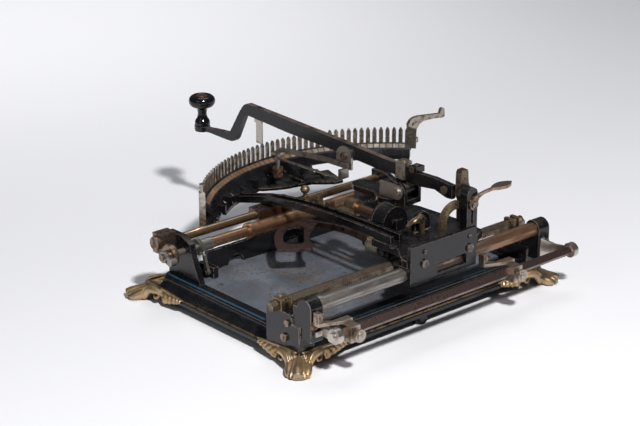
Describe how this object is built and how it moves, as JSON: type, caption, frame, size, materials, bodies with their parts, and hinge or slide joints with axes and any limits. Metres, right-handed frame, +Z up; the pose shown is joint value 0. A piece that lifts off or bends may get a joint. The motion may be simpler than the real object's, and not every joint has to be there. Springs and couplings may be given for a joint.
{
  "type": "index typewriter",
  "caption": "Flat-bed index typewriter: a swinging selector arm with a knob drops into a curved comb; comb and carriage slide on rails over a cast frame with gilded feet.",
  "frame": {"origin": "centre of the overall box, on the floor under the feet", "axes": "+Z up, +X to the operator's right along the rails, -Y towards the operator and the knob"},
  "size_m": [0.465, 0.4816, 0.148],
  "materials": {
    "black_japan": "gloss, worn",
    "gilt": "gilded, aged",
    "bed_steel": "satin, pitted",
    "worn_steel": "satin, stained",
    "copper": "satin",
    "brass": "satin, aged",
    "nickel": "polished, worn",
    "brown_steel": "satin, brown",
    "type_rubber": "matte"
  },
  "bodies": {
    "base": {"base_frame": "black_japan", "corner_feet": "gilt", "bed_plate": "bed_steel", "frame_screws": "brass", "rail_posts": "black_japan", "rear_rail": "worn_steel", "rack_bar": "brass", "rack_clamps": "brass", "guide_rod": "brass", "rod_brackets": "black_japan", "rod_end_block": "brass", "cross_wall": "black_japan", "margin_bar": "brown_steel", "margin_arms": "nickel"},
    "roller": {"feed_roller": "copper", "feed_ratchet": "worn_steel", "thumb_wheel": "brass"},
    "lever": {"feed_lever": "worn_steel"},
    "click": {"feed_click": "worn_steel"},
    "stop_right": {"margin_stop_right": "brown_steel"},
    "stop_left": {"margin_stop_left": "brown_steel"},
    "screw_right": {"stop_screw_right": "nickel"},
    "screw_left": {"stop_screw_left": "nickel"},
    "carriage": {"rear_slide": "black_japan", "carriage_deck": "black_japan", "carriage_screws": "brass", "bridge_beams": "black_japan", "front_slide": "brown_steel", "index_casting": "black_japan", "casting_foot": "nickel", "index_strip": "copper", "end_post": "nickel", "slotted_post": "black_japan", "spring_barrel": "black_japan", "drive_shaft": "copper", "shaft_bearing": "brass", "hook_arm": "brass", "beam_fittings": "brass", "loop_collar": "black_japan"},
    "adjuster": {"adjusting_screw": "nickel"},
    "comb": {"comb": "nickel", "shift_horn": "nickel"},
    "turntable": {"turntable": "black_japan", "type_sector": "type_rubber", "link_plate": "nickel"},
    "arm": {"arm_bar": "black_japan", "tail_bar": "black_japan", "clamp_block": "nickel", "stop_block": "black_japan", "arm_screws": "brass", "knob": "black_japan", "knob_inlay": "copper", "locating_blade": "nickel", "ink_lever": "brown_steel", "ink_discs": "copper"},
    "plunger": {"space_plunger": "brown_steel"},
    "spoon": {"spoon_lever": "copper"},
    "pawl": {"rack_pawl": "brass"},
    "loop": {"guide_loop": "brown_steel", "loop_ferrule": "nickel"}
  },
  "joints": [
    {"name": "carriage_slide", "type": "slide", "parent": "base", "child": "carriage", "axis": [1, 0, 0], "range_m": [-0.003, 0.105]},
    {"name": "arm_swing", "type": "hinge", "parent": "carriage", "child": "turntable", "pos_m": [-0.02137, 0.07383, 0.091], "axis": [0, 0, -1], "range_deg": [-41.6, 45.87]},
    {"name": "arm_press", "type": "hinge", "parent": "turntable", "child": "arm", "pos_m": [-0.02271, 0.09178, 0.106], "axis": [0.9972, 0.0744, 0], "range_deg": [0, 3.8], "stiffness_Nm_per_rad": 2, "springref_deg": -25.78},
    {"name": "comb_shift", "type": "hinge", "parent": "carriage", "child": "comb", "pos_m": [-0.02137, 0.07383, 0.09], "axis": [0, 0, 1], "range_deg": [0, 1.07]},
    {"name": "adjusting_screw_turn", "type": "hinge", "parent": "carriage", "child": "adjuster", "pos_m": [0.13728, -0.05281, 0.104], "axis": [0, 0, 1], "continuous": true},
    {"name": "plunger_slide", "type": "slide", "parent": "carriage", "child": "plunger", "axis": [0, 0, -1], "range_m": [0, 0.0035], "stiffness_N_per_m": 200, "springref_m": -0.004},
    {"name": "pawl_rock", "type": "hinge", "parent": "carriage", "child": "pawl", "pos_m": [0.01463, 0.15283, 0.099], "axis": [0, 1, 0], "range_deg": [0, 6]},
    {"name": "spoon_rock", "type": "hinge", "parent": "carriage", "child": "spoon", "pos_m": [-0.02987, 0.18453, 0.113], "axis": [0, -1, 0], "range_deg": [0, 8], "stiffness_Nm_per_rad": 0.06, "springref_deg": -28.65},
    {"name": "loop_lift", "type": "hinge", "parent": "carriage", "child": "loop", "pos_m": [0.02663, 0.10783, 0.057], "axis": [0, -1, 0], "range_deg": [0, 10]},
    {"name": "roller_turn", "type": "hinge", "parent": "base", "child": "roller", "pos_m": [0.04063, -0.01917, 0.0585], "axis": [1, 0, 0], "continuous": true},
    {"name": "feed_lever_turn", "type": "hinge", "parent": "base", "child": "lever", "pos_m": [0.21563, -0.01917, 0.0585], "axis": [1, 0, 0], "range_deg": [-20, 20]},
    {"name": "click_rock", "type": "hinge", "parent": "base", "child": "click", "pos_m": [0.17143, -0.00317, 0.035], "axis": [-1, 0, 0], "range_deg": [0, 15]},
    {"name": "stop_right_slide", "type": "slide", "parent": "base", "child": "stop_right", "axis": [1, 0, 0], "range_m": [-0.112, 0.006]},
    {"name": "stop_left_slide", "type": "slide", "parent": "base", "child": "stop_left", "axis": [1, 0, 0], "range_m": [-0.05, 0]},
    {"name": "screw_right_turn", "type": "hinge", "parent": "stop_right", "child": "screw_right", "pos_m": [0.17663, 0.23183, 0.045], "axis": [0, 1, 0], "continuous": true},
    {"name": "screw_left_turn", "type": "hinge", "parent": "stop_left", "child": "screw_left", "pos_m": [-0.04937, 0.23183, 0.045], "axis": [0, 1, 0], "continuous": true}
  ],
  "couplings": [
    {"joint": "pawl_rock", "follows": "plunger_slide", "rad_per_m": 28}
  ]
}
